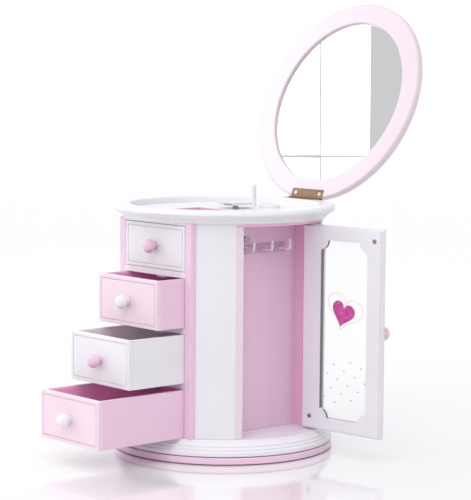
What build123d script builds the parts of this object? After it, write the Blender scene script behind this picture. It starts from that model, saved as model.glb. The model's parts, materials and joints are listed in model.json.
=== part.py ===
from build123d import *
import math
import os

# Round jewellery box on a turntable: four drawers in front (-Y), a glazed door over a
# hanging niche at the side (+X), a lift-up mirror lid and a clockwork music movement.
# Millimetres, +Z up, origin on the floor under the middle of the round base.
# It is modelled as displayed: lid and door open, the lower three drawers pulled out.

# ---- driving dimensions: base and body -----------------------------------------------
body_radius = 98.4
body_height = 205.6
shell_wall = 6.0
panel_thickness = 9.0
bay_width = 91.0
front_setback = 10.6
niche_setback = 16.9
ceiling_thickness = 2.8
base_disc_overhang = 10.5
base_disc_thickness = 6.4
base_disc_round = 1.2
felt_thickness = 0.8
felt_margin = 4.9
turntable_gap = 0.8
base_plate_overhang = 10.2
base_plate_thickness = 14.8
panel_seam_y = 20.0
panel_seam_x = 40.0
push_gap = 0.2

# (inset from the plate's rim, height), stretched to the plate's thickness
base_plate_moulding = [
    (0.8, 0.0), (0.0, 0.8), (0.0, 3.8), (0.7, 4.6), (1.8, 5.1), (1.8, 6.7), (2.6, 7.3),
    (3.4, 8.2), (3.4, 9.8), (4.6, 10.3), (6.2, 11.6), (7.0, 13.2), (7.3, 14.4), (7.7, 14.8),
]

# ---- cornice, deck and lid -----------------------------------------------------------
cornice_overhang = 11.6
cornice_height = 12.7
recess_lip = 5.5
recess_round = 0.8
recess_depth = 6.1
well_width = 62.0
well_length = 60.0
well_back = -6.0
lining_thickness = 1.2
lid_setback = 1.5
lid_thickness = 8.5
lid_gap = 0.4
lid_open_angle = 112.8
lid_ring_width = 21.3
mirror_lap = 2.4
mirror_recess = 3.1
mirror_thickness = 2.2
lid_back_margin = 11.5

# (inset from the cornice's rim, height), stretched to the cornice's height
cornice_moulding = [
    (9.1, 0.0), (9.1, 0.8), (8.6, 1.4), (8.0, 2.4), (7.1, 3.2), (6.1, 3.5), (5.7, 3.6), (5.7, 4.3),
    (5.0, 5.0), (3.9, 5.6), (2.5, 6.0), (2.0, 6.1), (2.0, 6.8), (1.2, 7.3), (0.4, 7.8),
    (0.0, 8.6), (0.1, 9.7), (0.7, 11.0), (1.8, 12.0), (3.2, 12.5), (4.6, 12.7),
]

# ---- hinge of the lid ------------------------------------------------------------------
hinge_reach = -1.0
hinge_sink = 0.8
leaf_half = 23.0
leaf_thickness = 1.0
leaf_length = 9.2
leaf_segments = 5
leaf_play = 0.15
pocket_gap = 0.2
knuckle_radius = 1.9
knuckle_gap = 0.35
hinge_pin_radius = 1.0
screw_x = 17.5
screw_inset = 4.4
screw_radius = 1.3
screw_length = 6.0
screw_head_radius = 2.2
screw_slot_width = 0.6
screw_slot_depth = 0.5

# ---- drawers ---------------------------------------------------------------------------
shelf_thickness = 5.8
top_bay_height = 43.9
middle_bay_height = 47.4
drawer_side_gap = 0.5
drawer_top_gap = 0.4
drawer_bottom_gap = 0.3
front_thickness = 5.0
drawer_wall = 4.0
drawer_floor = 3.0
short_drawer_length = 73.0
long_drawer_length = 144.0
drawer_pulls = [0.0, 33.0, 66.3, 101.7]
bead_inset = 3.4
bead_width = 0.7
bead_depth = 0.5
knob_radius = 6.85
knob_length = 13.0
knob_flattening = 0.86
knob_neck_radius = 3.2
knob_foot_flare = 0.9
stop_tab_size = (12.0, 4.0, 3.2)
stop_tab_setback = 7.8

# ---- door ----------------------------------------------------------------------------
door_lap = 3.1
door_gap = 0.4
door_inner_thickness = 2.6
door_outer_thickness = 4.2
door_inner_margin = 1.5
door_bottom_gap = 1.6
door_top_gap = 1.4
door_pivot_inset = 8.9
door_open_angle = 95.8
window_centre = -3.2
window_half_width = 28.6
window_sill = 12.6
window_head = 14.2
window_corner = 9.0
glass_thickness = 2.0
glass_rebate = 3.0
pivot_pin_radius = 1.2
pivot_pin_engagement = 7.0
pivot_pin_depth = 6.0
pin_clearance = 0.06
tail_clearance = 1.2
door_knob_inset = 7.6
strike_radius = 2.1
strike_thickness = 0.6
upper_strike_inset = 8.1
upper_strike_drop = 11.4
lower_strike_inset = 10.6
lower_strike_rise = 12.3
magnet_radius = 3.3
magnet_length = 11.0
magnet_gap = 1.0
magnet_cup_length = 6.0
magnet_cup_margin = 0.9

# ---- hooks for necklaces ---------------------------------------------------------------
hook_spacing = 23.5
hook_drop = 25.6
hook_reach = 16.5
hook_rise = 9.5
hook_radius = 1.5
hook_bend = 2.2
hook_rail_thickness = 2.0
hook_rail_half_height = 4.0
hook_rail_overhang = 7.0

# ---- stage, ring dish and music chamber ------------------------------------------------
stage_y = 15.0
stage_radius = 16.5
stage_thickness = 1.8
stage_mirror_thickness = 0.8
stage_mirror_margin = 0.8
stage_lift = 3.8
post_radius = 3.0
post_gap = 0.6
spindle_radius = 1.6
bush_radius = 4.5
bush_stand = 0.4
dish_x = 16.0
dish_y = 46.0
dish_radius = 10.5
dish_height = 3.6
dish_wall = 2.4
dish_floor = 1.2
back_panel_y = 64.0
chamber_wall_y = -6.0
partition_thickness = 3.0

# ---- ball race between the base disc and the plate ---------------------------------------
race_radius = 42.0
race_plate = 1.4
race_pocket_depth = 2.0
race_pocket_gap = 3.0
race_play = 0.2
race_ball_circle = 34.0
ball_radius = 1.5
ball_count = 16
rivet_radius = 4.0
rivet_head_flare = 3.0
rivet_head_thickness = 1.8
rivet_play = 0.4
race_plate_fit = 0.5
rivet_head_gap = 0.6

# ---- music movement --------------------------------------------------------------------
frame_x0 = -14.0
frame_x1 = 28.0
frame_front = 31.0
frame_back = 33.5
foot_length = 9.0
foot_thickness = 2.0
foot_screw_places = [-9.0, 23.0]
foot_screw_setback = 5.5
foot_screw_radius = 1.4
foot_screw_head_radius = 2.6
foot_screw_head_thickness = 1.2
foot_screw_depth = 4.0
ear_front = 12.0
ear_margin = 4.0
ear_thickness = 2.0
ear_drop = 5.5
ear_web_thickness = 1.5
ear_web_front = 28.0
low_ear_thickness = 2.2
governor_end_play = 0.2
barrel_rise = 12.5
barrel_radius = 11.5
barrel_front = 20.0
barrel_back = 30.6
crown_rim_width = 3.0
crown_rim_depth = 1.2
crown_teeth = 20
crown_notch_half = 0.7
shaft_radius = 2.0
key_collar_radius = 4.0
key_hole_gap = 0.3
key_stand = 0.6
key_reach = 14.0
key_half = 13.0
key_wing_length = 12.0
key_wing_root = 3.0
key_wing_half_thickness = 1.2
key_wing_round = 5.5
key_hole_radius = 3.0
key_hole_offset = 7.2
cylinder_radius = 6.5
cylinder_rise = 12.2
cylinder_headroom = 7.6
arbor_drop = 6.8
pinion_radius = 3.0
pinion_drop = 6.2
pinion_length = 3.4
pin_rows = 4
pin_columns = 12
pin_radius = 0.45
pin_length = 0.5
comb_end_margin = 0.5
comb_reach = 27.0
comb_root = 18.0
comb_bed = 19.0
comb_thickness = 1.0
comb_teeth = 11
comb_cut = 0.24
comb_gap = 0.8
gear_gap = 1.5
gear_thickness = 1.6
gear_module = 0.75
gear_mesh_gap = 0.3
drive_teeth = 36
fan_teeth = 12
arbor_stand = 2.0
governor_radius = 0.8
fan_half = 5.0
fan_thickness = 0.8
fan_rise = 4.9
fan_height = 3.4
stop_pin_x = -9.0
stop_pin_y = 47.6
stop_pin_radius = 2.2
stop_pin_gap = 0.3
stop_pin_round = 1.4
stop_pin_rise = 15.9
stop_pin_foot = 17.8
stop_arm_rise = 22.5
stop_arm_radius = 0.8
stop_arm_gap = 1.8
spring_radius = 3.0
spring_wire = 0.35
spring_turns = 6

# ---- levels worked out from the dimensions above ---------------------------------------
base_disc_radius = body_radius + base_disc_overhang
base_plate_radius = body_radius + base_plate_overhang
felt_radius = base_disc_radius - felt_margin
front_distance = body_radius - front_setback
niche_front = body_radius - niche_setback
cornice_radius = body_radius + cornice_overhang
recess_radius = body_radius - recess_lip
lid_radius = cornice_radius - lid_setback
lid_back_radius = lid_radius - lid_back_margin
mirror_opening_radius = lid_radius - lid_ring_width
mirror_radius = mirror_opening_radius + mirror_lap
disc_top = felt_thickness + base_disc_thickness
plate_bottom = disc_top + turntable_gap
floor_level = plate_bottom + base_plate_thickness
body_top = floor_level + body_height
ceiling_level = body_top - ceiling_thickness
rim_top = body_top + cornice_height
deck_top = rim_top - recess_depth
bay_half = bay_width / 2
panel_outer = bay_half + panel_thickness
shell_inner = body_radius - shell_wall
race_floor = disc_top - race_pocket_depth
race_top = race_floor + race_plate * 2 + ball_radius * 2 + race_play
shelf_step = shelf_thickness + middle_bay_height
top_shelf = ceiling_level - top_bay_height
shelf_tops = [top_shelf, top_shelf - shelf_step, top_shelf - 2 * shelf_step]
bay_floors = shelf_tops + [floor_level]
bay_tops = [ceiling_level] + [top - shelf_thickness for top in shelf_tops]

# ---- door places, as if shut -------------------------------------------------------------
door_half_width = bay_half + door_lap
door_inner_face = niche_front + door_gap
door_middle = door_inner_face + door_inner_thickness
door_outer_face = door_middle + door_outer_thickness
door_bottom = floor_level + door_bottom_gap
door_top = ceiling_level - door_top_gap
door_pivot_x = door_middle + door_outer_thickness / 2
door_pivot_y = door_half_width - door_pivot_inset
pin_bore = pivot_pin_radius + pin_clearance
pin_bottom = floor_level - pivot_pin_depth
tail_reach = math.hypot(door_pivot_inset, door_inner_face - door_pivot_x) + tail_clearance
rear_jamb_front = door_pivot_x - tail_reach
window_bottom = door_bottom + window_sill
window_top = door_top - window_head
window_ends = (window_centre - window_half_width, window_centre + window_half_width)
knob_y = door_knob_inset - door_half_width
knob_z = (floor_level + ceiling_level) / 2
upper_strike = (upper_strike_inset - door_half_width, door_top - upper_strike_drop)
lower_strike = (door_half_width - lower_strike_inset, door_bottom + lower_strike_rise)

# ---- hinge line and movement levels --------------------------------------------------------
hinge_y = cornice_radius + hinge_reach
hinge_z = rim_top - hinge_sink
leaf_front = hinge_y - knuckle_radius - leaf_length
screw_y = leaf_front + screw_inset
movement_floor = top_shelf
barrel_height = movement_floor + barrel_rise
cylinder_bottom = barrel_height + cylinder_rise
cylinder_top = ceiling_level - cylinder_headroom
gear_level = cylinder_top + gear_gap
arbor_top = gear_level + arbor_stand
ear_top = cylinder_top - ear_drop + ear_thickness
fan_x = -(drive_teeth + fan_teeth) * gear_module / 2 - gear_mesh_gap
stop_pin_bottom = movement_floor + stop_pin_foot
arm_level = movement_floor + stop_arm_rise

parts = {}


# ---- small shape helpers ---------------------------------------------------------------
def block(x0, x1, y0, y1, z0, z1):
    centre = ((x0 + x1) / 2, (y0 + y1) / 2, (z0 + z1) / 2)
    return Pos(*centre) * Box(x1 - x0, y1 - y0, z1 - z0)


def rod(x, y, z0, z1, radius):
    return Pos(x, y, (z0 + z1) / 2) * Cylinder(radius, z1 - z0)


def rod_x(x0, x1, y, z, radius):
    return Pos((x0 + x1) / 2, y, z) * Rot(0, 90, 0) * Cylinder(radius, x1 - x0)


def rod_y(x, y0, y1, z, radius):
    return Pos(x, (y0 + y1) / 2, z) * Rot(90, 0, 0) * Cylinder(radius, y1 - y0)


def tube(x, y, z0, z1, outer, inner):
    return rod(x, y, z0, z1, outer) - rod(x, y, z0 - 1, z1 + 1, inner)


def turned(profile):
    outline = Polyline(*[(r, 0, z) for r, z in profile], close=True)
    return revolve(make_face(outline), Axis.Z)


def moulded(profile, radius, bottom, height):
    drawn_height = max(z for _, z in profile)
    return [(radius - inset, bottom + z * height / drawn_height) for inset, z in profile]


# ---- base: felt pad, disc, ball race and moulded plate ---------------------------------
def make_base():
    parts["felt_base"] = rod(0, 0, 0, felt_thickness, felt_radius)
    disc = rod(0, 0, felt_thickness, disc_top, base_disc_radius)
    disc = fillet(disc.edges().filter_by(GeomType.CIRCLE), base_disc_round)
    parts["base_disc"] = disc - rod(0, 0, race_floor, disc_top + 1, race_radius + race_pocket_gap)


def make_turntable():
    lower = rod(0, 0, race_floor, race_floor + race_plate, race_radius)
    ball_level = race_floor + race_plate + ball_radius
    balls = []
    for i in range(ball_count):
        a = 2 * math.pi * i / ball_count
        place = Pos(race_ball_circle * math.cos(a), race_ball_circle * math.sin(a), ball_level)
        balls.append(place * Sphere(ball_radius))
    hub_radius = rivet_radius + pin_clearance
    upper = tube(0, 0, race_top - race_plate, race_top, race_radius, hub_radius)
    parts["race_upper_plate"] = upper
    head_bottom = race_top + rivet_play
    shank = rod(0, 0, race_floor, head_bottom, rivet_radius)
    head_radius = rivet_radius + rivet_head_flare
    head = rod(0, 0, head_bottom, head_bottom + rivet_head_thickness, head_radius)
    parts["ball_race"] = lower + shank + head + balls


def make_base_plate():
    outline = moulded(base_plate_moulding, base_plate_radius, plate_bottom, base_plate_thickness)
    plate = turned([(0, plate_bottom)] + outline + [(0, floor_level)])
    plate -= rod(0, 0, plate_bottom - 1, race_top, race_radius + race_plate_fit)
    head_room = race_top + rivet_play + rivet_head_thickness + rivet_head_gap
    head_hole = rivet_radius + rivet_head_flare + rivet_head_gap
    plate -= rod(0, 0, plate_bottom - 1, head_room, head_hole)
    plate -= rod(door_pivot_x, door_pivot_y, pin_bottom - rivet_play, floor_level + 1, pin_bore)
    parts["base_plate"] = plate


# ---- body: dividers, niche walls, shelves, ceiling, curved shell -----------------------
def make_carcass():
    back_reach = math.sqrt(shell_inner ** 2 - panel_outer ** 2) - push_gap
    for side, name in ((-1, "divider_left"), (1, "divider_right")):
        x = sorted((side * bay_half, side * panel_outer))
        board = block(x[0], x[1], -front_distance, back_reach, floor_level, body_top)
        parts[name] = board
    front = block(panel_outer, niche_front, -panel_outer, -bay_half, floor_level, ceiling_level)
    rear = block(panel_outer, rear_jamb_front, bay_half, panel_outer, floor_level, ceiling_level)
    parts["niche_walls"] = front + rear
    niche_top = block(panel_outer, body_radius, -panel_outer, panel_outer, ceiling_level, body_top)
    niche_top &= rod(0, 0, ceiling_level, body_top, body_radius - 2 * push_gap)
    niche_top -= rod(door_pivot_x, door_pivot_y, ceiling_level - 1, body_top + 1, pin_bore)
    parts["niche_ceiling"] = niche_top
    front_half = block(-bay_half, bay_half, -front_distance, 0, ceiling_level, body_top)
    rear_half = block(-bay_half, bay_half, 0, shell_inner, ceiling_level, body_top)
    rear_half &= rod(0, 0, ceiling_level, body_top, shell_inner - push_gap)
    ceiling = front_half + rear_half
    ceiling -= rod(0, stage_y, ceiling_level - 1, body_top + 1, bush_radius)
    ceiling -= stop_pin_hole(ceiling_level - 1, body_top + 1)
    parts["bay_ceiling"] = ceiling + stop_tab(ceiling_level)


def stop_pin_hole(z0, z1):
    return rod(stop_pin_x, stop_pin_y, z0, z1, stop_pin_radius + stop_pin_gap)


def stop_tab(top):
    width, length, drop = stop_tab_size
    y0 = -front_distance + stop_tab_setback
    return block(-width / 2, width / 2, y0, y0 + length, top - drop, top)


def make_shelves():
    shelves = []
    for top in shelf_tops:
        low = top - shelf_thickness
        shelf = block(-bay_half, bay_half, -front_distance, back_panel_y, low, top)
        shelves.append(shelf + stop_tab(low))
    for x in foot_screw_places:
        shelves[0] -= rod(x, foot_screw_y, movement_floor - foot_screw_depth,
                          movement_floor + 1, foot_screw_radius)
    parts["drawer_shelves"] = shelves[0] + shelves[1:]
    panel_back = back_panel_y + partition_thickness
    back = block(-bay_half, bay_half, back_panel_y, panel_back, floor_level, ceiling_level)
    back -= rod_y(0, back_panel_y - 1, panel_back + 1, barrel_height, shaft_hole_radius)
    wall_back = chamber_wall_y + partition_thickness
    wall = block(-bay_half, bay_half, chamber_wall_y, wall_back, movement_floor, ceiling_level)
    parts["bay_partitions"] = back + wall


def make_shell():
    shell = tube(0, 0, floor_level, body_top, body_radius, shell_inner)
    far = body_radius + 5
    levels = (floor_level, body_top)
    front_column = shell & block(panel_outer, far, -far, -panel_outer, *levels)
    rear_column = shell & block(panel_seam_x, far, panel_outer, far, *levels)
    parts["curved_columns"] = front_column + rear_column
    parts["side_panel"] = shell & block(-far, -panel_outer, -far, panel_seam_y, *levels)
    back = shell & block(-far, panel_seam_x, panel_seam_y, far, *levels)
    parts["back_panel"] = back - rod_y(0, 0, far, barrel_height, key_collar_radius + key_hole_gap)


# ---- cornice, deck, lined well and ring dish -------------------------------------------
def leaf_pocket(z0, z1):
    half = leaf_half + pocket_gap
    return block(-half, half, leaf_front - pocket_gap, hinge_y + knuckle_radius * 2, z0, z1)


def knuckle_channel():
    half = leaf_half + pocket_gap
    return rod_x(-half, half, hinge_y, hinge_z, knuckle_radius + knuckle_gap)


def make_cornice():
    outline = moulded(cornice_moulding, cornice_radius, body_top, cornice_height)
    inner_edge = [
        (recess_radius + recess_round, rim_top), (recess_radius, rim_top - recess_round),
        (recess_radius, body_top),
    ]
    rim = turned(outline + inner_edge)
    rim -= leaf_pocket(rim_top - leaf_thickness, rim_top + 1)
    rim -= knuckle_channel()
    for x in (-screw_x, screw_x):
        rim -= rod(x, screw_y, rim_top - screw_length, rim_top, screw_radius)
    parts["cornice"] = rim
    half = well_width / 2
    well_front = well_back - well_length
    deck = rod(0, 0, body_top, deck_top, recess_radius)
    deck -= block(-half, half, well_front, well_back, body_top - 1, deck_top + 1)
    deck -= rod(0, stage_y, body_top - 1, deck_top + 1, bush_radius)
    deck -= stop_pin_hole(body_top - 1, deck_top + 1)
    parts["deck"] = deck
    t = lining_thickness
    tray = block(-half, half, well_front, well_back, body_top, deck_top)
    inside = block(-half + t, half - t, well_front + t, well_back - t, body_top + t, deck_top + 1)
    parts["well_lining"] = tray - inside
    dish = rod(dish_x, dish_y, deck_top, deck_top + dish_height, dish_radius)
    dish = fillet(dish.edges().filter_by(GeomType.CIRCLE).sort_by(Axis.Z)[-1], dish_wall / 2)
    hollow_bottom = deck_top + dish_floor
    hollow = rod(dish_x, dish_y, hollow_bottom, deck_top + dish_height + 1, dish_radius - dish_wall)
    parts["ring_dish"] = dish - hollow


# ---- lid: modelled shut, then swung open about the hinge -------------------------------
def swung(shape):
    return Pos(0, hinge_y, hinge_z) * Rot(-lid_open_angle, 0, 0) * Pos(0, -hinge_y, -hinge_z) * shape


def make_leaf(z0, z1, first, bore):
    segment = 2 * leaf_half / leaf_segments
    leaf = block(-leaf_half, leaf_half, leaf_front, hinge_y, z0, z1)
    for i in range(1 - first, leaf_segments, 2):
        x0 = -leaf_half + i * segment
        relief = knuckle_radius + knuckle_gap
        leaf -= rod_x(x0 - leaf_play, x0 + segment + leaf_play, hinge_y, hinge_z, relief)
    for i in range(first, leaf_segments, 2):
        x0 = -leaf_half + i * segment
        leaf += rod_x(x0 + leaf_play, x0 + segment - leaf_play, hinge_y, hinge_z, knuckle_radius)
    leaf -= rod_x(-leaf_half - 1, leaf_half + 1, hinge_y, hinge_z, bore)
    for x in (-screw_x, screw_x):
        leaf -= rod(x, screw_y, z0 - 1, z1 + 1, screw_head_radius)
    return leaf


def make_screws(z_head, direction):
    under_head = z_head - direction * leaf_thickness
    tip = z_head - direction * screw_length
    slot_floor = z_head - direction * screw_slot_depth
    slot_half = screw_slot_width / 2
    screws = []
    for x in (-screw_x, screw_x):
        screw = rod(x, screw_y, *sorted((z_head, under_head)), screw_head_radius)
        screw += rod(x, screw_y, *sorted((under_head, tip)), screw_radius)
        slot_ends = (screw_y - screw_head_radius - 1, screw_y + screw_head_radius + 1)
        screw -= block(x - slot_half, x + slot_half, *slot_ends, *sorted((z_head, slot_floor)))
        screws.append(screw)
    return screws[0] + screws[1:]


def make_lid():
    z = rim_top + lid_gap
    top = z + lid_thickness
    r = lid_radius
    mirror_low = z + mirror_recess
    mirror_high = mirror_low + mirror_thickness
    ring = turned([
        (mirror_opening_radius + 0.8, z), (r - 2.0, z), (r - 0.9, z + 0.4), (r - 0.2, z + 1.2),
        (r, z + 2.4), (r, top - 2.6), (r - 0.3, top - 1.4), (r - 1.0, top - 0.5), (r - 2.4, top),
        (lid_back_radius, top), (lid_back_radius, mirror_high), (mirror_radius, mirror_high),
        (mirror_radius, mirror_low), (mirror_opening_radius, mirror_low),
        (mirror_opening_radius, z + 0.8),
    ])
    ring -= leaf_pocket(z - 1, z + leaf_thickness)
    ring -= knuckle_channel()
    for x in (-screw_x, screw_x):
        ring -= rod(x, screw_y, z, z + screw_length, screw_radius)
    parts["lid_ring"] = swung(ring)
    parts["lid_mirror"] = swung(rod(0, 0, mirror_low, mirror_high, mirror_radius))
    parts["lid_back_panel"] = swung(rod(0, 0, mirror_high, top, lid_back_radius))
    lower = make_leaf(rim_top - leaf_thickness, rim_top, 0, hinge_pin_radius)
    parts["hinge_lower_leaf"] = lower
    upper = make_leaf(z, z + leaf_thickness, 1, hinge_pin_radius + pin_clearance)
    parts["hinge_upper_leaf"] = swung(upper)
    parts["hinge_pin"] = rod_x(-leaf_half, leaf_half, hinge_y, hinge_z, hinge_pin_radius)
    parts["hinge_lower_screws"] = make_screws(rim_top, 1)
    parts["hinge_upper_screws"] = swung(make_screws(z, -1))


# ---- drawers ---------------------------------------------------------------------------
def make_knob():
    height = knob_radius * knob_flattening
    centre = knob_length - height
    neck = knob_neck_radius
    profile = [(0, 0), (neck + knob_foot_flare, 0), (neck + 0.3, 0.8), (neck, 1.6), (neck, 2.2)]
    for degrees in range(-60, 91, 15):
        a = math.radians(degrees)
        profile.append((max(knob_radius * math.cos(a), 0), centre + height * math.sin(a)))
    return turned(profile)


def make_drawers():
    half = bay_half - drawer_side_gap
    a = bead_inset
    b = bead_inset + bead_width
    w = drawer_wall
    for i in range(4):
        low = bay_floors[i] + drawer_bottom_gap
        high = bay_tops[i] - drawer_top_gap
        length = short_drawer_length if i == 0 else long_drawer_length
        y0 = -front_distance - drawer_pulls[i]
        y1 = y0 + front_thickness
        y2 = y1 + length
        front = block(-half, half, y0, y1, low, high)
        groove = block(-half + a, half - a, y0 - 1, y0 + bead_depth, low + a, high - a)
        groove -= block(-half + b, half - b, y0 - 2, y0 + 1, low + b, high - b)
        parts[f"drawer_{i + 1}_front"] = front - groove
        box = block(-half, half, y1, y2, low, high)
        box -= block(-half + w, half - w, y1 - 1, y2 - w, low + drawer_floor, high + 1)
        parts[f"drawer_{i + 1}_box"] = box
        middle = (low + high) / 2
        parts[f"drawer_{i + 1}_knob"] = Pos(0, y0, middle) * Rot(90, 0, 0) * make_knob()


# ---- door: modelled shut, then swung open about its pivot pins -------------------------
def door_swung(shape):
    turn = Rot(0, 0, door_open_angle)
    return Pos(door_pivot_x, door_pivot_y, 0) * turn * Pos(-door_pivot_x, -door_pivot_y, 0) * shape


def make_door():
    h = door_half_width
    x0, x1, x2 = door_inner_face, door_middle, door_outer_face
    m = door_inner_margin
    inner = block(x0, x1, -h + m, h - m, door_bottom + m, door_top - m)
    opening = block(x0 - 1, x1 + 1, *window_ends, window_bottom, window_top)
    for y in window_ends:
        for z in (window_bottom, window_top):
            opening -= rod_x(x0 - 1, x1 + 1, y, z, window_corner)
    parts["door_inner_frame"] = door_swung(inner - opening)
    outer = block(x1, x2, -h, h, door_bottom, door_top)
    outer -= block(x1 - 1, x2 + 1, *window_ends, window_bottom, window_top)
    g = glass_rebate
    pane = block(
        x1, x1 + glass_thickness, window_ends[0] - g, window_ends[1] + g,
        window_bottom - g, window_top + g,
    )
    outer -= pane
    low_grip = door_bottom + pivot_pin_engagement
    high_grip = door_top - pivot_pin_engagement
    for z0, z1 in ((door_bottom, low_grip), (high_grip, door_top)):
        outer -= rod(door_pivot_x, door_pivot_y, z0, z1, pivot_pin_radius)
    parts["door_outer_frame"] = door_swung(outer)
    parts["door_glass"] = door_swung(pane)
    lower_pin = rod(door_pivot_x, door_pivot_y, pin_bottom, low_grip, pivot_pin_radius)
    upper_pin = rod(door_pivot_x, door_pivot_y, high_grip, body_top - 0.5, pivot_pin_radius)
    parts["door_pivot_pins"] = door_swung(lower_pin + upper_pin)
    parts["door_knob"] = door_swung(Pos(x2, knob_y, knob_z) * Rot(0, 90, 0) * make_knob())
    studs = [rod_x(x0 - strike_thickness, x0, *place, strike_radius)
             for place in (upper_strike, lower_strike)]
    parts["door_strike_studs"] = door_swung(studs[0] + studs[1])


def make_magnet_catch():
    magnet_front = door_inner_face - magnet_gap
    magnet_back = magnet_front - magnet_length
    magnet_y, magnet_z = upper_strike
    magnet = rod_x(magnet_back, magnet_front, magnet_y, magnet_z, magnet_radius)
    half = magnet_radius + magnet_cup_margin
    cup_front = magnet_back + magnet_cup_length
    cup = block(magnet_back, cup_front, -bay_half, magnet_y, magnet_z - half, magnet_z + half)
    parts["magnet_catch"] = cup + magnet


# ---- hooks for necklaces ---------------------------------------------------------------
def make_hooks():
    hook_level = ceiling_level - hook_drop
    rail_front = panel_outer + hook_rail_thickness
    rail_half = hook_spacing + hook_rail_overhang
    rail_levels = (hook_level - hook_rail_half_height, hook_level + hook_rail_half_height)
    rail = block(panel_outer, rail_front, -rail_half, rail_half, *rail_levels)
    reach = panel_outer + hook_reach
    hooks = []
    for i in (-1, 0, 1):
        y = i * hook_spacing
        path = FilletPolyline(
            (rail_front, y, hook_level),
            (reach, y, hook_level),
            (reach, y, hook_level + hook_rise),
            radius=hook_bend,
        )
        start = Plane(origin=(rail_front, y, hook_level), z_dir=(1, 0, 0))
        hooks.append(sweep(start * Circle(hook_radius), path))
    parts["necklace_hooks"] = rail + hooks


# ---- music movement --------------------------------------------------------------------
foot_screw_y = frame_back + foot_screw_setback
shaft_hole_radius = shaft_radius + 4 * stop_pin_gap


def gear(teeth, thickness, phase):
    root = teeth * gear_module / 2 - 1.1 * gear_module
    tip = teeth * gear_module / 2 + 0.8 * gear_module
    points = []
    for i in range(teeth):
        for part, radius in ((-0.25, root), (-0.12, tip), (0.12, tip), (0.25, root)):
            a = 2 * math.pi * (i + part + phase) / teeth
            points.append((radius * math.cos(a), radius * math.sin(a)))
    return extrude(make_face(Polyline(*points, close=True)), thickness)


def make_movement_frame():
    z0 = movement_floor
    z1 = gear_level + gear_gap
    plate = block(frame_x0, frame_x1, frame_front, frame_back, z0, z1)
    foot_back = frame_back + foot_length
    foot = block(frame_x0, frame_x1, frame_back, foot_back, z0, z0 + foot_thickness)
    ear_x = fan_x - ear_margin
    ear_low_top = z0 + low_ear_thickness
    ear_low = block(ear_x, frame_x0, ear_front, frame_back, z0, ear_low_top)
    ear_high_bottom = ear_top - ear_thickness
    ear_high = block(ear_x, frame_x0, ear_front, frame_back, ear_high_bottom, ear_top)
    web_x = frame_x0 - ear_web_thickness
    web = block(web_x, frame_x0, ear_web_front, frame_back, z0, ear_top)
    frame = plate + foot + ear_low + ear_high + web
    hole = shaft_radius + pin_clearance
    frame -= rod_y(0, frame_front - 1, frame_back + 1, barrel_height, hole)
    pivot_hole = governor_radius + pin_clearance
    frame -= rod(fan_x, stage_y, z0 + low_ear_thickness / 2 - 0.1, ear_low_top + 1, pivot_hole)
    frame -= rod(fan_x, stage_y, ear_high_bottom - 1, ear_top + 1, pivot_hole)
    for x in foot_screw_places:
        frame -= rod(x, foot_screw_y, z0 - 1, z0 + foot_thickness + 1, foot_screw_radius)
    z_comb = (cylinder_bottom + comb_end_margin, cylinder_top - comb_end_margin)
    comb_back = stage_y + comb_thickness / 2
    frame += block(comb_bed, comb_reach, comb_back, frame_front, *z_comb)
    parts["movement_frame"] = frame
    screws = []
    head_bottom = z0 + foot_thickness
    head_top = head_bottom + foot_screw_head_thickness
    for x in foot_screw_places:
        screw = rod(x, foot_screw_y, z0 - foot_screw_depth, head_bottom, foot_screw_radius)
        screws.append(screw + rod(x, foot_screw_y, head_bottom, head_top, foot_screw_head_radius))
    parts["movement_screws"] = screws[0] + screws[1]


def make_cylinder():
    cylinder = rod(0, 0, cylinder_bottom, cylinder_top, cylinder_radius)
    arbor = rod(0, 0, cylinder_bottom - arbor_drop, arbor_top, spindle_radius)
    pinion_low = cylinder_bottom - pinion_drop
    pinion = rod(0, 0, pinion_low, pinion_low + pinion_length, pinion_radius)
    pin_pitch = (cylinder_top - cylinder_bottom) / pin_rows
    pins = []
    for i in range(pin_columns):
        for j in range(pin_rows):
            a = math.radians(360 / pin_columns * i + 47 * j)
            x = cylinder_radius * math.cos(a)
            y = cylinder_radius * math.sin(a)
            low = cylinder_bottom + (j + 0.38) * pin_pitch
            pins.append(rod(x, y, low, low + pin_length, pin_radius))
    wheel = Pos(0, 0, gear_level) * gear(drive_teeth, gear_thickness, 0.0)
    parts["music_cylinder"] = Pos(0, stage_y, 0) * (cylinder + arbor + pinion + pins + wheel)


def make_stage():
    stage_bottom = deck_top + stage_lift
    stage_top = stage_bottom + stage_thickness
    spindle = rod(0, stage_y, arbor_top, stage_bottom, spindle_radius)
    spindle += rod(0, stage_y, deck_top + post_gap, stage_bottom, post_radius)
    parts["stage_spindle"] = spindle
    parts["stage_disc"] = rod(0, stage_y, stage_bottom, stage_top, stage_radius)
    mirror_top = stage_top + stage_mirror_thickness
    mirror_edge = stage_radius - stage_mirror_margin
    parts["stage_mirror"] = rod(0, stage_y, stage_top, mirror_top, mirror_edge)
    bore = spindle_radius + pin_clearance
    bush_top = deck_top + bush_stand
    parts["spindle_bush"] = tube(0, stage_y, ceiling_level, bush_top, bush_radius, bore)


def make_comb():
    z0 = cylinder_bottom + comb_end_margin
    z1 = cylinder_top - comb_end_margin
    tip_x = cylinder_radius + comb_gap
    half = comb_thickness / 2
    comb = block(tip_x, comb_reach, stage_y - half, stage_y + half, z0, z1)
    pitch = (z1 - z0) / comb_teeth
    for i in range(1, comb_teeth):
        z = z0 + i * pitch
        comb -= block(
            tip_x - 1, comb_root, stage_y - 1, stage_y + 1, z - comb_cut / 2, z + comb_cut / 2
        )
    parts["comb"] = comb


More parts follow.
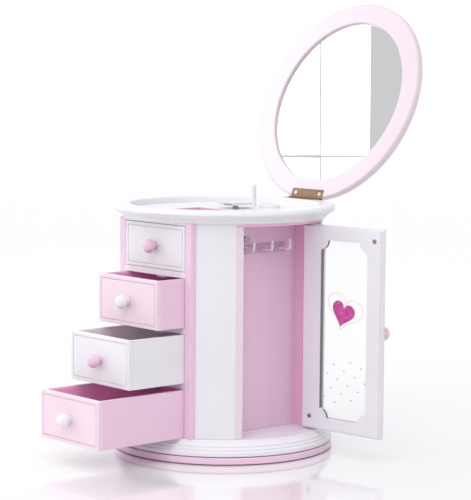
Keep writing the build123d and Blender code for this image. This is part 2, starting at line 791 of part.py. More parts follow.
def make_barrel():
    barrel = rod_y(0, barrel_front, barrel_back, barrel_height, barrel_radius)
    rim_front = barrel_front - crown_rim_depth
    rim = rod_y(0, rim_front, barrel_front, barrel_height, barrel_radius)
    rim -= rod_y(0, rim_front - 1, barrel_front + 1, barrel_height, barrel_radius - crown_rim_width)
    half = crown_notch_half
    notch = block(-half, half, rim_front - 1, barrel_front, 0, barrel_radius + 2)
    for i in range(crown_teeth):
        rim -= Pos(0, 0, barrel_height) * Rot(0, 360 / crown_teeth * i, 0) * notch
    bore = shaft_radius + pin_clearance
    barrel += rim
    parts["spring_barrel"] = barrel - rod_y(0, rim_front - 1, barrel_back + 1, barrel_height, bore)


def make_key():
    shaft_end = body_radius + key_reach
    shaft = rod_y(0, barrel_front + 1, shaft_end, barrel_height, shaft_radius)
    collar = rod_y(0, body_radius + key_stand, shaft_end, barrel_height, key_collar_radius)
    wing_front = shaft_end - key_wing_root
    t = key_wing_half_thickness
    wing_ends = (wing_front, wing_front + key_wing_length)
    wings = block(-t, t, *wing_ends, barrel_height - key_half, barrel_height + key_half)
    wings = fillet(wings.edges().filter_by(Axis.X), key_wing_round)
    for z in (-key_hole_offset, key_hole_offset):
        hole_y = wing_front + key_wing_length / 2
        wings -= rod_x(-t - 1, t + 1, hole_y, barrel_height + z, key_hole_radius)
    parts["winding_key"] = shaft + collar + wings


def make_governor():
    shaft_bottom = movement_floor + low_ear_thickness / 2 + governor_end_play / 2
    shaft = rod(fan_x, stage_y, shaft_bottom, arbor_top, governor_radius)
    fan_low = movement_floor + fan_rise
    half = fan_thickness / 2
    fan = block(
        fan_x - fan_half, fan_x + fan_half, stage_y - half, stage_y + half,
        fan_low, fan_low + fan_height,
    )
    wheel = Pos(fan_x, stage_y, gear_level) * gear(fan_teeth, gear_thickness, 0.5)
    parts["governor"] = shaft + fan + wheel


def make_stop_pin():
    pin = rod(stop_pin_x, stop_pin_y, stop_pin_bottom, rim_top + stop_pin_rise, stop_pin_radius)
    top_edge = pin.edges().filter_by(GeomType.CIRCLE).sort_by(Axis.Z)[-1]
    pin = fillet(top_edge, stop_pin_round)
    arm = rod_x(fan_x, stop_pin_x, stop_pin_y, arm_level, stop_arm_radius)
    arm += Pos(fan_x, stop_pin_y, arm_level) * Sphere(stop_arm_radius)
    arm += rod_y(fan_x, stage_y + stop_arm_gap, stop_pin_y, arm_level, stop_arm_radius)
    parts["stop_pin"] = pin + arm
    coil_height = stop_pin_foot - 2 * spring_wire
    helix = Helix(pitch=coil_height / spring_turns, height=coil_height, radius=spring_radius)
    start = Plane(origin=helix @ 0, z_dir=helix % 0)
    spring = sweep(start * Circle(spring_wire), helix, is_frenet=True)
    spring_bottom = movement_floor + spring_wire
    parts["stop_spring"] = Pos(stop_pin_x, stop_pin_y, spring_bottom) * spring


make_base()
make_turntable()
make_base_plate()
make_carcass()
make_shelves()
make_shell()
make_cornice()
make_lid()
make_drawers()
make_door()
make_magnet_catch()
make_hooks()
make_movement_frame()
make_cylinder()
make_stage()
make_comb()
make_barrel()
make_key()
make_governor()
make_stop_pin()

os.makedirs("parts", exist_ok=True)
for node, shape in parts.items():
    export_step(shape, f"parts/{node}.step")
print(len(parts), "nodes written")
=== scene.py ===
import json
import math

import bmesh
import bpy
from mathutils import Matrix, Vector


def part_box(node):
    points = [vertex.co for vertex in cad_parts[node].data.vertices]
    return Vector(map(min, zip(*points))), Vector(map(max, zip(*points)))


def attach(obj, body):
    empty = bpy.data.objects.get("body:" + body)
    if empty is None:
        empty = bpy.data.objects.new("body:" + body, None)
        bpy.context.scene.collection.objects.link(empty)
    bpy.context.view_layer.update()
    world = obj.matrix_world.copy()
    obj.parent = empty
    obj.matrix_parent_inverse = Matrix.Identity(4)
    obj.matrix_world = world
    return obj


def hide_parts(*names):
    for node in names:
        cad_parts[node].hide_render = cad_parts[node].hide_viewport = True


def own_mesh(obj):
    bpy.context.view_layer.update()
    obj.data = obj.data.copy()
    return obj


# Round jewellery box: white and pink satin lacquer, felt-lined drawers, a glazed side door
# with a printed heart, and a mirror in the lid. Metres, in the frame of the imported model.

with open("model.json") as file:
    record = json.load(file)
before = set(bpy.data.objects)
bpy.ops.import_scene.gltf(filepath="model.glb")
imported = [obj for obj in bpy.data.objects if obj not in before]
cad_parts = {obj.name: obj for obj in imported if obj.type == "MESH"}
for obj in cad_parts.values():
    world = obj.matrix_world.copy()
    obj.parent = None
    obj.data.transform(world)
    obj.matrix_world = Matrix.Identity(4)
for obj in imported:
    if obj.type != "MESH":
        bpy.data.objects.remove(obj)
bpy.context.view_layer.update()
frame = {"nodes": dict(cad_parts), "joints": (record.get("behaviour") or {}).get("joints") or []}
NODES = frame["nodes"]
JOINTS = {joint["name"]: joint for joint in frame["joints"]}
MM = 0.001


# ---- node materials -------------------------------------------------------------------
class Shader:
    """A new material with its Principled shader, and short calls for the nodes used here."""

    def __init__(self, name, **sockets):
        self.material = bpy.data.materials.new(name)
        self.material.use_nodes = True
        self.tree = self.material.node_tree
        self.principled = self.tree.nodes["Principled BSDF"]
        coordinates = self.tree.nodes.new("ShaderNodeTexCoord")
        self.place = coordinates.outputs["Object"]
        for socket, value in sockets.items():
            self.set(socket.replace("_", " "), value)

    def set(self, socket, value):
        self.principled.inputs[socket].default_value = value

    def link(self, output, socket):
        self.tree.links.new(output, self.principled.inputs[socket])

    def stretched(self, scale):
        node = self.tree.nodes.new("ShaderNodeMapping")
        node.inputs["Scale"].default_value = scale
        self.tree.links.new(self.place, node.inputs["Vector"])
        return node.outputs["Vector"]

    def noise(self, scale, detail=2.0, place=None):
        node = self.tree.nodes.new("ShaderNodeTexNoise")
        node.inputs["Scale"].default_value = scale
        node.inputs["Detail"].default_value = detail
        self.tree.links.new(place or self.place, node.inputs["Vector"])
        return node.outputs["Fac"]

    def cells(self, scale):
        node = self.tree.nodes.new("ShaderNodeTexVoronoi")
        node.inputs["Scale"].default_value = scale
        self.tree.links.new(self.place, node.inputs["Vector"])
        return node.outputs["Color"]

    def span(self, value, low, high, start=0.3, end=0.7):
        node = self.tree.nodes.new("ShaderNodeMapRange")
        node.inputs["From Min"].default_value = start
        node.inputs["From Max"].default_value = end
        node.inputs["To Min"].default_value = low
        node.inputs["To Max"].default_value = high
        self.tree.links.new(value, node.inputs["Value"])
        return node.outputs["Result"]

    def between(self, factor, first, second):
        node = self.tree.nodes.new("ShaderNodeMix")
        node.data_type = "RGBA"
        for value, socket in ((first, 6), (second, 7)):
            if isinstance(value, tuple):
                node.inputs[socket].default_value = (*value, 1.0)
            else:
                self.tree.links.new(value, node.inputs[socket])
        self.tree.links.new(factor, node.inputs["Factor"])
        return node.outputs[2]

    def bump(self, height, strength, distance):
        node = self.tree.nodes.new("ShaderNodeBump")
        node.inputs["Strength"].default_value = strength
        node.inputs["Distance"].default_value = distance
        self.tree.links.new(height, node.inputs["Height"])
        self.link(node.outputs["Normal"], "Normal")


def shade(colour, share):
    """The colour, darker below a share of 1 and lighter above it."""
    return tuple(min(1.0, channel * share) for channel in colour)


def lacquer(name, colour, roughness=0.34, coat=0.25, mottle=0.02, peel=0.10):
    """Sprayed satin lacquer on MDF: faint cloudiness, orange peel and uneven gloss."""
    s = Shader(name, Coat_Weight=coat, Coat_Roughness=0.18)
    clouds = s.span(s.noise(14.0, 3.0), 0.0, 1.0)
    s.link(s.between(clouds, shade(colour, 1 - mottle), shade(colour, 1 + mottle)), "Base Color")
    s.link(s.span(s.noise(60.0, 4.0), roughness - 0.05, roughness + 0.05), "Roughness")
    s.bump(s.noise(750.0, 2.0), peel, 0.0002)
    return s.material


def plastic(name, colour, roughness=0.28, mottle=0.015):
    """Moulded plastic: faint flow streaks, fine pitting and slightly uneven gloss."""
    s = Shader(name, IOR=1.46)
    flow = s.span(s.noise(90.0, 2.0, s.stretched((1.0, 1.0, 0.35))), 0.0, 1.0)
    s.link(s.between(flow, shade(colour, 1 - mottle), shade(colour, 1 + mottle)), "Base Color")
    s.link(s.span(s.noise(240.0, 3.0), roughness - 0.05, roughness + 0.06), "Roughness")
    s.bump(s.noise(1800.0), 0.06, 0.0001)
    return s.material


def felt(name, dark, light):
    """Flocked felt: short fibres that catch light, with pressed and fluffed patches."""
    s = Shader(name, Roughness=0.95, Sheen_Weight=0.35, Sheen_Roughness=0.5)
    s.set("Sheen Tint", (*shade(light, 1.3), 1.0))
    patches = s.span(s.noise(45.0, 4.0), 0.25, 0.75)
    cloth = s.between(patches, dark, light)
    fibres = s.span(s.noise(2600.0, 4.0), 0.0, 0.35)
    s.link(s.between(fibres, cloth, shade(light, 1.25)), "Base Color")
    s.bump(s.noise(1900.0, 5.0), 0.35, 0.0002)
    return s.material


def metal(name, colour, roughness, along=(1.0, 1.0, 1.0), tarnish=0.12):
    """Plated metal with fine brushing along one direction and a little tarnish."""
    s = Shader(name, Metallic=1.0)
    tone = s.span(s.noise(180.0, 3.0), 0.0, 1.0)
    dull, bright = shade(colour, 1 - tarnish), shade(colour, 1 + tarnish / 2)
    s.link(s.between(tone, dull, bright), "Base Color")
    brushing = s.noise(900.0, 3.0, s.stretched(along))
    s.link(s.span(brushing, roughness - 0.08, roughness + 0.10), "Roughness")
    s.bump(brushing, 0.15, 0.0001)
    return s.material


def clear_pane():
    """Thin clear pane: see-through, with gloss that grows at a glancing angle."""
    s = Shader("clear_pane")
    s.link(s.between(s.noise(6.0), (0.93, 0.95, 0.96), (0.97, 0.98, 0.99)), "Base Color")
    s.link(s.span(s.noise(30.0, 4.0), 0.01, 0.06), "Roughness")
    edge = s.tree.nodes.new("ShaderNodeLayerWeight")
    edge.inputs["Blend"].default_value = 0.12
    s.link(s.span(edge.outputs["Fresnel"], 0.05, 0.30, 0.0, 1.0), "Alpha")
    return s.material


def silvered(name, tint, haze):
    """Silvered glass or film: a mirror with a trace of haze."""
    s = Shader(name, Metallic=1.0)
    s.link(s.between(s.noise(5.0, 2.0), shade(tint, 0.985), tint), "Base Color")
    s.link(s.span(s.noise(25.0, 5.0), 0.0, haze), "Roughness")
    return s.material


def glitter(name, deep, bright):
    """Glitter print: small flakes that each lean their own way, over a solid ink."""
    s = Shader(name, Roughness=0.35, Metallic=0.25)
    flakes = s.cells(1500.0)
    tone = s.tree.nodes.new("ShaderNodeSeparateColor")
    s.tree.links.new(flakes, tone.inputs["Color"])
    s.link(s.between(s.span(tone.outputs["Red"], 0.0, 1.0, 0.55, 1.0), deep, bright), "Base Color")
    s.bump(tone.outputs["Green"], 0.6, 0.0002)
    return s.material


WHITE = (0.82, 0.81, 0.85)
PINK = (0.84, 0.60, 0.75)
white_paint = lacquer("white_lacquer", WHITE)
pink_paint = lacquer("pink_lacquer", PINK)
# Painted shade: a deeper, more saturated copy of the pink stands in for the shade and bounced
# light inside the niche.
niche_shade_paint = lacquer("pink_lacquer_niche_painted_shade", (0.90, 0.54, 0.75), roughness=0.42)
# Painted light: a paler copy of the pink for the jamb's front edge stands in for the light falling
# on it.
jamb_lit_paint = lacquer("pink_lacquer_jamb_painted_light", (0.92, 0.76, 0.85), roughness=0.36)
rail_pink = plastic("rail_pink", (0.64, 0.42, 0.56))
blush_paint = lacquer("blush_lacquer", (0.76, 0.645, 0.71), roughness=0.38)
# Painted light: a paler copy of the pink on the drawer fronts stands in for the light and sheen
# from the left.
front_lit_paint = lacquer("pink_lacquer_front_painted_light", (0.86, 0.68, 0.78), roughness=0.36)
# Painted shade: dark grey on the door's window edge stands in for the shadow gap there.
window_edge_shade_paint = lacquer("window_edge_painted_shade", (0.20, 0.18, 0.20), roughness=0.6, coat=0.0)
pink_gloss = lacquer("pink_knob_gloss", (0.80, 0.55, 0.68), roughness=0.2, coat=0.5, peel=0.05)
white_gloss = lacquer("white_knob_gloss", (0.80, 0.79, 0.82), roughness=0.2, coat=0.5, peel=0.05)
hook_plastic = plastic("hook_nylon", (0.82, 0.78, 0.83))
magnet_plastic = plastic("magnet_grey", (0.34, 0.29, 0.29), roughness=0.5, mottle=0.2)
magenta_felt = felt("magenta_felt", (0.84, 0.36, 0.60), (0.94, 0.46, 0.70))
mauve_felt = felt("mauve_felt", (0.76, 0.66, 0.73), (0.86, 0.77, 0.83))
grey_felt = felt("grey_felt", (0.20, 0.19, 0.20), (0.30, 0.29, 0.30))
well_cloth = felt("well_felt", (0.55, 0.30, 0.42), (0.66, 0.42, 0.54))
brass = metal("antique_brass", (0.27, 0.18, 0.12), 0.36, along=(0.05, 1.0, 1.0))
stud_brass = metal("stud_brass", (0.36, 0.30, 0.22), 0.32)
bright_brass = metal("bright_brass", (0.78, 0.56, 0.38), 0.28)
steel = metal("plated_steel", (0.55, 0.55, 0.57), 0.32)
zinc = metal("cast_zinc", (0.45, 0.44, 0.42), 0.5, tarnish=0.2)
glass = clear_pane()
mirror = silvered("mirror_silver", (0.93, 0.94, 0.94), 0.012)
stage_silver = silvered("stage_silver", (0.80, 0.78, 0.80), 0.10)
heart_print = glitter("heart_glitter", (0.60, 0.04, 0.32), (0.90, 0.34, 0.66))
gold_print = plastic("gold_line", (0.84, 0.78, 0.66), mottle=0.08)
rose_print = plastic("rose_line", (0.88, 0.76, 0.80), mottle=0.08)
dot_print = plastic("dot_grey", (0.66, 0.66, 0.65), mottle=0.1)

# ---- CAD nodes that stay: finish and softened edges --------------------------------------
# node: (material, rounding of its edges in mm)
FINISHES = {
    "base_disc": (pink_paint, 0.25), "ball_race": (steel, 0.1), "race_upper_plate": (steel, 0.1),
    "base_plate": (white_paint, 0.2), "divider_left": (pink_paint, 0.5),
    # the niche walls and ceiling take the copy of the pink with painted shade
    "divider_right": (pink_paint, 0.5), "niche_walls": (niche_shade_paint, 0.5),
    "niche_ceiling": (niche_shade_paint, 0.4), "bay_ceiling": (white_paint, 0.4),
    "drawer_shelves": (white_paint, 0.4), "bay_partitions": (white_paint, 0.3),
    "curved_columns": (white_paint, 0.5), "side_panel": (white_paint, 0.4),
    "back_panel": (white_paint, 0.4), "cornice": (white_paint, 0.2), "deck": (white_paint, 0.4),
    "ring_dish": (white_gloss, 0.2), "hinge_lower_leaf": (brass, 0.12),
    "hinge_pin": (brass, 0.1), "hinge_lower_screws": (bright_brass, 0.1),
    "hinge_upper_leaf": (brass, 0.12), "hinge_upper_screws": (bright_brass, 0.1),
    "magnet_catch": (magnet_plastic, 0.3), "necklace_hooks": (hook_plastic, 0.3),
    "movement_frame": (zinc, 0.15), "movement_screws": (steel, 0.1), "comb": (steel, 0.0),
    "spindle_bush": (hook_plastic, 0.1),
    "door_inner_frame": (white_paint, 0.4), "door_outer_frame": (white_paint, 0.6),
    "door_glass": (glass, 0.0), "door_pivot_pins": (bright_brass, 0.1),
    "door_knob": (pink_gloss, 0.0), "door_strike_studs": (stud_brass, 0.15),
    "lid_ring": (blush_paint, 0.4), "lid_mirror": (mirror, 0.0),
    "lid_back_panel": (blush_paint, 0.4), "music_cylinder": (bright_brass, 0.0),
    "stage_spindle": (hook_plastic, 0.2), "stage_disc": (stage_silver, 0.25),
    "stage_mirror": (stage_silver, 0.0), "spring_barrel": (steel, 0.1),
    "winding_key": (bright_brass, 0.25), "governor": (steel, 0.0), "stop_pin": (hook_plastic, 0.2),
}
for number in range(1, 5):
    board = white_paint if number % 2 else pink_paint
    # the pink drawer fronts take the paler copy of the pink, painted light
    FINISHES[f"drawer_{number}_front"] = (white_paint if number % 2 else front_lit_paint, 0.7)
    FINISHES[f"drawer_{number}_box"] = (board, 0.5)
    FINISHES[f"drawer_{number}_knob"] = (pink_gloss if number % 2 else white_gloss, 0.0)

SMOOTH_BELOW = math.radians(32)
WELD_DISTANCE = 0.002 * MM
FLAT_PIECES = ("lid_mirror", "door_glass", "stage_mirror")


def finish_node(name, finish, rounding):
    """A material for a CAD node, and softened edges unless the rounding is nothing."""
    piece = NODES[name]
    piece.data.materials.clear()
    piece.data.materials.append(finish)
    if name in FLAT_PIECES:
        piece.data.shade_flat()
        return
    piece.data.shade_smooth()
    weld = piece.modifiers.new("weld", "WELD")
    weld.merge_threshold = WELD_DISTANCE
    if rounding:
        bevel = piece.modifiers.new("rounded_edges", "BEVEL")
        bevel.width = rounding * MM
        bevel.segments = 2
        bevel.limit_method = "ANGLE"
        bevel.angle_limit = SMOOTH_BELOW
        bevel.use_clamp_overlap = True
    flat = piece.modifiers.new("flat_faces", "WEIGHTED_NORMAL")
    flat.keep_sharp = True
    if not rounding:
        piece.data.set_sharp_from_angle(angle=SMOOTH_BELOW)


for node_name, (finish, rounding) in FINISHES.items():
    finish_node(node_name, finish, rounding)


# ---- mesh helpers ------------------------------------------------------------------------
def skin(bm, rings):
    """Joins rings of vertices that follow each other, and closes the first and the last."""
    for ring, following in zip(rings, rings[1:]):
        for i in range(len(ring)):
            j = (i + 1) % len(ring)
            bm.faces.new((ring[i], ring[j], following[j], following[i]))
    bm.faces.new(rings[0])
    bm.faces.new(rings[-1])


def new_piece(name, bm, finish, body, smooth=False):
    """An object made from the mesh, riding a body, in a material slot of the part."""
    mesh = bpy.data.meshes.new(name)
    bmesh.ops.recalc_face_normals(bm, faces=bm.faces)
    bm.to_mesh(mesh)
    bm.free()
    piece = bpy.data.objects.new(name, mesh)
    bpy.context.scene.collection.objects.link(piece)
    mesh.materials.append(finish)
    if smooth:
        mesh.shade_smooth()
        mesh.set_sharp_from_angle(angle=SMOOTH_BELOW)
    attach(piece, body)
    return piece


def tray(name, low, high, wall, rounding, finish, body, rear_drop=0.0):
    """An open-topped lining: floor and four walls, with rounded corners, as one felt piece.
    Its rear wall may stand lower than the others."""
    bm = bmesh.new()
    inner_low = Vector((low.x + wall, low.y + wall, low.z + wall))
    inner_high = Vector((high.x - wall, high.y - wall, high.z))
    rings = []
    for a, b, z in ((low, high, low.z), (low, high, high.z), (inner_low, inner_high, high.z),
                    (inner_low, inner_high, inner_low.z)):
        rear = z - rear_drop if z > low.z + 2 * wall else z
        corners = ((a.x, a.y, z), (b.x, a.y, z), (b.x, b.y, rear), (a.x, b.y, rear))
        rings.append([bm.verts.new(corner) for corner in corners])
    skin(bm, rings)
    bmesh.ops.bevel(bm, geom=bm.edges[:], offset=rounding, segments=3, profile=0.5,
                    affect="EDGES", clamp_overlap=True)
    return new_piece(name, bm, finish, body, smooth=True)


def turned(name, profile, finish, body, segments=160):
    """A solid of revolution about the box's own axis, from (radius, height) pairs."""
    bm = bmesh.new()
    rings = []
    for radius, z in profile:
        ring = []
        for i in range(segments):
            a = 2 * math.pi * i / segments
            ring.append(bm.verts.new((radius * math.cos(a), radius * math.sin(a), z)))
        rings.append(ring)
    skin(bm, rings)
    return new_piece(name, bm, finish, body, smooth=True)


# ---- felt: drawer linings, the well in the deck, the pad under the base ---------------------
BOX_WALL = 4.0 * MM
BOX_FLOOR = 3.0 * MM
FELT = 0.9 * MM
FELT_GAP = 0.05 * MM
FELT_ROUNDING = 0.3 * MM
BELOW_RIM = 0.8 * MM
REAR_DROP = 2.6 * MM    # the shelf's drawer stop passes over the rear of the lining
WELL_FELT = 1.2 * MM
WELL_ROUNDING = 0.4 * MM
LININGS = {1: mauve_felt, 2: magenta_felt, 3: mauve_felt, 4: magenta_felt}
for number, cloth in LININGS.items():
    low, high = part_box(f"drawer_{number}_box")
    side = BOX_WALL + FELT_GAP
    inside_low = Vector((low.x + side, low.y + FELT_GAP, low.z + BOX_FLOOR + FELT_GAP))
    inside_high = Vector((high.x - side, high.y - side, high.z - BELOW_RIM))
    tray(f"drawer_{number}_lining", inside_low, inside_high, FELT, FELT_ROUNDING, cloth,
         f"drawer_{number}", rear_drop=REAR_DROP)

well_low, well_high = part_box("well_lining")
well = tray("well_felt", well_low, well_high, WELL_FELT, WELL_ROUNDING, well_cloth, "case")
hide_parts("well_lining")

felt_low, felt_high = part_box("felt_base")
felt_radius = felt_high.x
FLUFF = 0.25 * MM       # rounding of the pad's edge
pad_profile = [(felt_radius - 2 * FLUFF, felt_low.z),
               (felt_radius - FLUFF, felt_low.z + FLUFF / 2),
               (felt_radius, felt_low.z + FLUFF), (felt_radius, felt_high.z - FLUFF),
               (felt_radius - FLUFF, felt_high.z)]
pad = turned("base_felt_pad", pad_profile, grey_felt, "base")
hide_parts("felt_base")

# ---- the stop pin's return spring, which shortens as the lid pushes the pin down; built as one fixed coil ---
SPRING_WIRE = 0.35 * MM    # radius of the wire
SPRING_TURNS = 6
TURN_STEPS = 24
WIRE_SIDES = 8
spring_low, spring_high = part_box("stop_spring")
spring_axis = (spring_low + spring_high) / 2
coil_radius = (spring_high.x - spring_low.x) / 2 - SPRING_WIRE
coil_height = spring_high.z - spring_low.z - 2 * SPRING_WIRE
coil_start = Vector((spring_axis.x, spring_axis.y, spring_low.z + SPRING_WIRE))
coil = bmesh.new()
coil_rings = []
for step in range(SPRING_TURNS * TURN_STEPS + 1):
    turn = 2 * math.pi * step / TURN_STEPS
    outward = Vector((math.cos(turn), math.sin(turn), 0.0))
    risen = Vector((0.0, 0.0, coil_height * step / (SPRING_TURNS * TURN_STEPS)))
    centre = coil_start + outward * coil_radius + risen
    ring = []
    for k in range(WIRE_SIDES):
        around = 2 * math.pi * k / WIRE_SIDES
        lift = Vector((0.0, 0.0, SPRING_WIRE * math.sin(around)))
        ring.append(coil.verts.new(centre + outward * SPRING_WIRE * math.cos(around) + lift))
    coil_rings.append(ring)
skin(coil, coil_rings)
return_spring = new_piece("stop_return_spring", coil, steel, "case", smooth=True)
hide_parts("stop_spring")
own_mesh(return_spring)

# ---- door prints: modelled as if the door were shut, then swung with it ---------------------
door_joint = JOINTS["door_hinge"]
door_pivot = Vector(door_joint["pos_m"])
door_opening = -math.radians(door_joint["range_deg"][0])
DOOR = (Matrix.Translation(door_pivot) @ Matrix.Rotation(door_opening, 4, "Z")
        @ Matrix.Translation(-door_pivot))
DOOR_SHUT = DOOR.inverted()
glass_points = [DOOR_SHUT @ vertex.co for vertex in NODES["door_glass"].data.vertices]
GLASS_X = min(point.x for point in glass_points)
WINDOW_Y = -3.2 * MM       # middle of the door's window, and its half width and ends
WINDOW_HALF = 28.6 * MM
WINDOW_LOW = 37.0 * MM
WINDOW_HIGH = 210.0 * MM
PRINT_STEP = 0.06 * MM     # each printed layer stands this far in front of the one before


def on_glass(u, v, depth):
    """A point on the pane: u to the right as seen from inside the niche, v up."""
    return DOOR @ Vector((GLASS_X - depth, -u, v))


def heart_outline(width, height, centre, lean, count=72):
    """Points of a plain heart of that size, leaning clockwise by lean degrees."""
    points = []
    a = math.radians(lean)
    for i in range(count):
        t = 2 * math.pi * i / count
        x = math.sin(t) ** 3 * width / 2
        y = (13 * math.cos(t) - 5 * math.cos(2 * t) - 2 * math.cos(3 * t) - math.cos(4 * t))
        y = (y + 2.5) / 29.0 * height
        points.append((centre[0] + x * math.cos(a) + y * math.sin(a),
                       centre[1] - x * math.sin(a) + y * math.cos(a)))
    return points


def film(layer):
    """Depths of the near and far face of a layer of ink, from the pane's inner face."""
    return PRINT_STEP * (layer + 1), PRINT_STEP * layer + PRINT_STEP / 6


def printed_shape(name, outlines, layer, finish):
    """Flat closed shapes lying on the pane's inner face, each a thin film of ink."""
    bm = bmesh.new()
    near, far = film(layer)
    for outline in outlines:
        top = [bm.verts.new(on_glass(u, v, near)) for u, v in outline]
        low = [bm.verts.new(on_glass(u, v, far)) for u, v in outline]
        bm.faces.new(top)
        bm.faces.new(low[::-1])
        for i in range(len(top)):
            j = (i + 1) % len(top)
            bm.faces.new((top[i], low[i], low[j], top[j]))
    return new_piece(name, bm, finish, "door")


def printed_line(name, outline, width, layer, finish):
    """A closed printed line of even width along an outline."""
    count = len(outline)
    strips = []
    for i in range(count):
        (u0, v0), (u1, v1) = outline[i - 1], outline[(i + 1) % count]
        across = Vector((v1 - v0, u0 - u1)).normalized() * width / 2
        u, v = outline[i]
        strips.append(((u - across.x, v - across.y), (u + across.x, v + across.y)))
    bm = bmesh.new()
    near, far = film(layer)
    rows = []
    for inner, outer in strips:
        rows.append([bm.verts.new(on_glass(*p, depth)) for p, depth in
                     ((inner, near), (outer, near), (outer, far), (inner, far))])
    for i in range(count):
        j = (i + 1) % count
        for k in range(4):
            m = (k + 1) % 4
            bm.faces.new((rows[i][k], rows[i][m], rows[j][m], rows[j][k]))
    return new_piece(name, bm, finish, "door")


# hearts: width, height, centre, lean in degrees, then points along a line
heart = heart_outline(28 * MM, 25 * MM, (0.3 * MM, 138.8 * MM), 15)
gold_heart = heart_outline(44 * MM, 32 * MM, (2.0 * MM, 140.6 * MM), 13, 120)
rose_heart = heart_outline(45 * MM, 34 * MM, (2.4 * MM, 140.6 * MM), 18, 120)
GOLD_WIDTH = 0.5 * MM
ROSE_WIDTH = 0.4 * MM
printed_shape("door_heart", [heart], 1, heart_print)
printed_line("door_heart_gold_line", gold_heart, GOLD_WIDTH, 0, gold_print)
printed_line("door_heart_rose_line", rose_heart, ROSE_WIDTH, 2, rose_print)

DOT_ROWS = 6
DOT_PITCH = 21.0 * MM
DOT_ROW_STEP = 9.0 * MM
DOT_ROW_SHIFT = 8.1 * MM
DOT_RISE = 0.2
DOT_START = (-10.0 * MM, 90.0 * MM)
DOT_RADIUS = 1.0 * MM
DOT_MARGIN = 2 * MM
DOT_COLUMNS = range(-2, 6)
DOT_SIDES = 16
dot_angles = [2 * math.pi * k / DOT_SIDES for k in range(DOT_SIDES)]
dots = []
for row in range(DOT_ROWS):
    for column in DOT_COLUMNS:
        along = DOT_PITCH * column - DOT_ROW_SHIFT * row
        u = DOT_START[0] + along
        v = DOT_START[1] - DOT_ROW_STEP * row + DOT_RISE * (along + DOT_ROW_SHIFT * row)
        if abs(u + WINDOW_Y) > WINDOW_HALF - DOT_MARGIN:
            continue
        dots.append([(u + DOT_RADIUS * math.cos(angle), v + DOT_RADIUS * math.sin(angle))
                     for angle in dot_angles])
printed_shape("door_dots", dots, 0, dot_print)


# ---- CAD nodes with a second finish --------------------------------------------------------
def second_finish(node_name, finish, chosen):
    """A second finish on the faces of a node that the test picks."""
    mesh = NODES[node_name].data
    mesh.materials.append(finish)
    for polygon in mesh.polygons:
        if chosen(polygon):
            polygon.material_index = 1


# Painted light: the edge board of the niche's jamb takes a paler copy of the pink, standing in for
# the light on its front, and the hook rail is pink between white hooks.
RAIL_THICKNESS = 2.2 * MM
jamb_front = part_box("niche_walls")[1].x - MM
rail_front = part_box("necklace_hooks")[0].x + RAIL_THICKNESS
second_finish("niche_walls", jamb_lit_paint, lambda face: face.center.x > jamb_front)
second_finish("necklace_hooks", rail_pink, lambda face: face.center.x < rail_front)

# Painted shade: the routed window edge of the inner frame is dark grey where it faces sideways,
# standing in for the shadow in the gap by the pane.
turn_back = DOOR_SHUT.to_3x3()
MOST_OUTWARD = 0.5      # share of a face's normal that may point out through the pane
LEAST_SIDEWAYS = 0.35   # share that has to point across the window


def shaded_window_edge(face):
    normal = turn_back @ face.normal
    middle = DOOR_SHUT @ face.center
    inside = abs(middle.y - WINDOW_Y) < WINDOW_HALF + MM
    inside = inside and WINDOW_LOW - MM < middle.z < WINDOW_HIGH + MM
    return inside and abs(normal.x) < MOST_OUTWARD and abs(normal.y) > LEAST_SIDEWAYS


second_finish("door_inner_frame", window_edge_shade_paint, shaded_window_edge)

# ---- floor, lights, camera -------------------------------------------------------------------
FLOOR_HALF = 6.0
floor_mesh = bpy.data.meshes.new("floor")
floor_corners = [(FLOOR_HALF * x, FLOOR_HALF * y, 0)
                 for x, y in ((-1, -1), (1, -1), (1, 1), (-1, 1))]
floor_mesh.from_pydata(floor_corners, [], [(0, 1, 2, 3)])
floor = bpy.data.objects.new("floor", floor_mesh)
bpy.context.scene.collection.objects.link(floor)
gloss = Shader("pale_floor", Coat_Weight=1.0, Coat_IOR=1.8, Coat_Roughness=0.07)
gloss.link(gloss.between(gloss.noise(3.0), (0.93, 0.93, 0.94), (0.95, 0.95, 0.955)), "Base Color")
gloss.link(gloss.span(gloss.noise(8.0), 0.09, 0.12), "Roughness")
floor_mesh.materials.append(gloss.material)

world = bpy.data.worlds.new("studio")
bpy.context.scene.world = world
world.use_nodes = True
sky = world.node_tree
background = sky.nodes["Background"]
direction = sky.nodes.new("ShaderNodeTexCoord")
axes = sky.nodes.new("ShaderNodeSeparateXYZ")
ray = sky.nodes.new("ShaderNodeLightPath")
sky.links.new(direction.outputs["Generated"], axes.inputs["Vector"])


def sky_span(output, start, end, low, high):
    node = sky.nodes.new("ShaderNodeMapRange")
    for socket, value in (("From Min", start), ("From Max", end), ("To Min", low),
                          ("To Max", high)):
        node.inputs[socket].default_value = value
    sky.links.new(output, node.inputs["Value"])
    return node.outputs["Result"]


def sky_choice(factor, first, second):
    node = sky.nodes.new("ShaderNodeMix")
    sky.links.new(factor, node.inputs["Factor"])
    for value, socket in ((first, "A"), (second, "B")):
        if isinstance(value, float):
            node.inputs[socket].default_value = value
        else:
            sky.links.new(value, node.inputs[socket])
    return node.outputs["Result"]


# The studio lights the front more than the back; gloss sees a bright horizon under a dim room.
key_side = sky.nodes.new("ShaderNodeVectorMath")
key_side.operation = "DOT_PRODUCT"
key_side.inputs[1].default_value = (-0.50, -0.87, 0.0)
sky.links.new(direction.outputs["Generated"], key_side.inputs[0])
room_light = sky_span(key_side.outputs["Value"], -1.0, 1.0, 0.62, 1.09)
room_gloss = sky_span(axes.outputs["Z"], 0.14, 0.32, 1.0, 0.66)
lit = sky_choice(ray.outputs["Is Glossy Ray"], room_light, room_gloss)
lit = sky_choice(ray.outputs["Is Camera Ray"], lit, 1.03)
sky.links.new(lit, background.inputs["Strength"])
background.inputs["Color"].default_value = (0.99, 0.985, 1.0, 1.0)


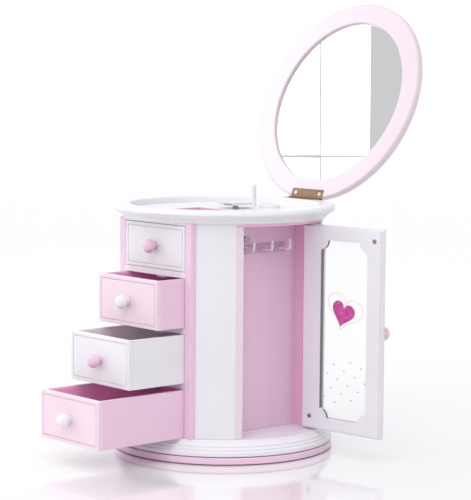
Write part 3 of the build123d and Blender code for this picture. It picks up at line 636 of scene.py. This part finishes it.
def softbox(name, place, aim, width, height, power, glossy=True):
    light = bpy.data.lights.new(name, "AREA")
    light.shape = "RECTANGLE"
    light.size = width
    light.size_y = height
    light.energy = power
    lamp = bpy.data.objects.new(name, light)
    bpy.context.scene.collection.objects.link(lamp)
    lamp.location = place
    lamp.rotation_mode = "QUATERNION"
    lamp.rotation_quaternion = (Vector(aim) - Vector(place)).to_track_quat("-Z", "Y")
    lamp.visible_camera = False
    lamp.visible_glossy = glossy
    return lamp


softbox("left_soft", place=(-0.50, -0.60, 0.30), aim=(0.0, -0.15, 0.10),
        width=0.5, height=0.5, power=0.75, glossy=False)
softbox("lid_soft", place=(-0.34, -0.12, 0.46), aim=(-0.05, 0.15, 0.33),
        width=0.2, height=0.2, power=0.22, glossy=False)

# A wide, weak sun from the front right fills the top and the niche.
overhead = bpy.data.lights.new("overhead", "SUN")
overhead.energy = 1.15
overhead.angle = math.radians(60)
overhead_lamp = bpy.data.objects.new("overhead", overhead)
bpy.context.scene.collection.objects.link(overhead_lamp)
overhead_from = Vector((0.35, -0.40, 0.85))
overhead_lamp.rotation_mode = "QUATERNION"
overhead_lamp.rotation_quaternion = overhead_from.to_track_quat("Z", "Y")
overhead_lamp.visible_glossy = False

# The camera: where it stands around the box, how far off, and its lens.
AZIMUTH = math.radians(48.784)
ELEVATION = math.radians(5.751)
ROLL = math.radians(0.458)
TARGET = Vector((0.00764, 0.00873, 0.1942))
DISTANCE = 1.9279
LENS = 140.14
SENSOR = 36.0
back = Vector((math.sin(AZIMUTH) * math.cos(ELEVATION), -math.cos(AZIMUTH) * math.cos(ELEVATION),
               math.sin(ELEVATION)))
level_right = Vector((math.cos(AZIMUTH), math.sin(AZIMUTH), 0.0))
level_up = back.cross(level_right)
right = level_right * math.cos(ROLL) + level_up * math.sin(ROLL)
up = back.cross(right)
camera_data = bpy.data.cameras.new("camera")
camera_data.lens = LENS
camera_data.sensor_width = SENSOR
camera = bpy.data.objects.new("camera", camera_data)
bpy.context.scene.collection.objects.link(camera)
camera_place = TARGET + back * DISTANCE
camera_turn = Matrix((right, up, back)).transposed()
camera.matrix_world = Matrix.Translation(camera_place) @ camera_turn.to_4x4()
bpy.context.scene.camera = camera

# The window that the mirror shows: four panes of light with thin bars between them.
mirror_low, mirror_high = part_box("lid_mirror")
lid_joint = JOINTS["lid_hinge"]
lid_angle = math.radians(lid_joint["range_deg"][1])
mirror_normal = Vector((0.0, -math.sin(lid_angle), -math.cos(lid_angle)))
mirror_centre = (mirror_low + mirror_high) / 2


def mirrored(vector):
    return vector - 2 * vector.dot(mirror_normal) * mirror_normal


WINDOW_AWAY = 1.3
seen_from = mirror_centre + mirrored(mirror_centre - camera_place).normalized() * WINDOW_AWAY
across = mirrored(right)
upward = mirrored(up)


def window_panel(name, left, right_end, low, high, power):
    """One pane of light: its edges in metres across and up from the middle of the reflection."""
    width = right_end - left
    height = high - low
    place = seen_from + across * (left + width / 2) + upward * (low + height / 2)
    lamp = softbox(name, place, mirror_centre, width, height, power * width * height)
    facing = (place - mirror_centre).normalized()
    side = (across - facing * across.dot(facing)).normalized()
    turn = Matrix((side, facing.cross(side), facing)).transposed()
    lamp.rotation_quaternion = turn.to_quaternion()


BAR = 0.002
POST = -0.030      # left edge of the upright bar
CROSSBAR = -0.094  # lower edge of the level bar
PANE_POWER = 7.0   # watts for each square metre
PANE_COLUMNS = ((-0.32, POST), (POST + BAR, 0.055))
PANE_ROWS = ((-0.30, CROSSBAR), (CROSSBAR + BAR, 0.26))
for column, (x0, x1) in enumerate(PANE_COLUMNS):
    for row, (z0, z1) in enumerate(PANE_ROWS):
        window_panel(f"window_pane_{column}{row}", x0, x1, z0, z1, PANE_POWER)

view = bpy.context.scene.view_settings
view.view_transform = "Standard"
view.look = "None"
view.exposure = 0.0
view.gamma = 1.0
